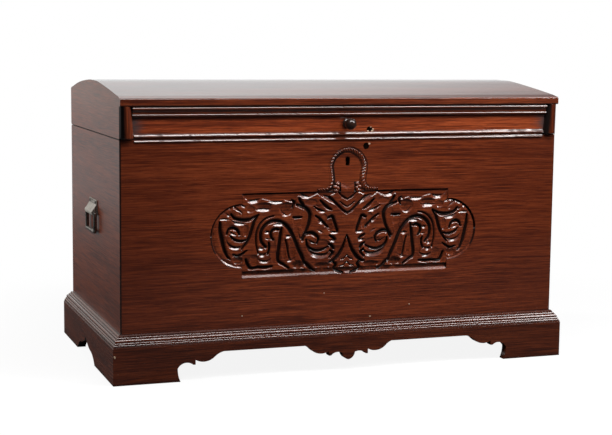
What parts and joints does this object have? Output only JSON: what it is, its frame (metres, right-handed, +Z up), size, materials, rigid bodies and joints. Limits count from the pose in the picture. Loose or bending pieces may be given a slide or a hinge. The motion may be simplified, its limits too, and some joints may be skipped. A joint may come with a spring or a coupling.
{
  "type": "blanket chest",
  "caption": "Domed-lid wooden blanket chest on a moulded bracket base, with a carved front panel, keyhole surround, turned lid knob and iron drop handles at the ends",
  "frame": {"origin": "on the floor under the middle of the overall box", "axes": "+X to the chest's right seen from the front, +Y to its back, +Z up"},
  "size_m": [1.142, 0.651, 0.6809],
  "materials": {
    "mahogany": "glossy varnished dark red-brown mahogany",
    "ebonised_wood": "turned, dark polished wood",
    "pine": "bare aged softwood",
    "wrought_iron": "dark forged iron",
    "steel_plate": "worn grey plate",
    "lock_brass": "dull brass"
  },
  "bodies": {
    "chest": {"back_board": "mahogany", "base_moulding_back": "mahogany", "base_moulding_front": "mahogany", "base_moulding_left": "mahogany", "base_moulding_right": "mahogany", "bottom_plank_1": "pine", "bottom_plank_2": "pine", "bottom_plank_3": "pine", "carved_panel": "mahogany", "corner_block_back_left": "pine", "corner_block_back_right": "pine", "corner_block_front_left": "pine", "corner_block_front_right": "pine", "front_board": "mahogany", "handle_nails": "wrought_iron", "hinge_chest_screws": "lock_brass", "keyhole_surround": "mahogany", "left_bottom_cleat": "pine", "left_handle_strap": "steel_plate", "left_hinge_chest_leaf": "lock_brass", "left_hinge_pin": "lock_brass", "left_side_board": "mahogany", "lock_case": "lock_brass", "lock_screws": "lock_brass", "plinth_back": "mahogany", "plinth_front": "mahogany", "plinth_left": "mahogany", "plinth_right": "mahogany", "right_bottom_cleat": "pine", "right_handle_strap": "steel_plate", "right_hinge_chest_leaf": "lock_brass", "right_hinge_pin": "lock_brass", "right_side_board": "mahogany", "rim_bead": "mahogany"},
    "lid": {"hinge_lid_screws": "lock_brass", "left_hinge_lid_leaf": "lock_brass", "lid_back_rail": "mahogany", "lid_bed_moulding": "mahogany", "lid_foot_bead": "mahogany", "lid_front_rail": "mahogany", "lid_knob": "ebonised_wood", "lid_left_gable": "mahogany", "lid_left_post": "mahogany", "lid_right_gable": "mahogany", "lid_right_post": "mahogany", "lid_stave_1": "mahogany", "lid_stave_2": "mahogany", "lid_stave_3": "mahogany", "lid_stave_4": "mahogany", "lid_stave_5": "mahogany", "link_plate": "lock_brass", "link_screws": "lock_brass", "right_hinge_lid_leaf": "lock_brass"},
    "left_bail": {"left_bail": "wrought_iron"},
    "right_bail": {"right_bail": "wrought_iron"},
    "lock_bolt": {"lock_bolt": "lock_brass"}
  },
  "joints": [
    {"name": "lid_hinge", "type": "hinge", "parent": "chest", "child": "lid", "pos_m": [0, 0.3005, 0.5584], "axis": [-1, 0, 0], "range_deg": [0, 100]},
    {"name": "left_bail_hinge", "type": "hinge", "parent": "chest", "child": "left_bail", "pos_m": [-0.5576, 0.0095, 0.364], "axis": [0, 1, 0], "range_deg": [-3, 175]},
    {"name": "right_bail_hinge", "type": "hinge", "parent": "chest", "child": "right_bail", "pos_m": [0.5576, 0.0095, 0.364], "axis": [0, -1, 0], "range_deg": [-3, 175]},
    {"name": "lock_bolt_slide", "type": "slide", "parent": "chest", "child": "lock_bolt", "axis": [1, 0, 0], "range_m": [0, 0.012]}
  ]
}
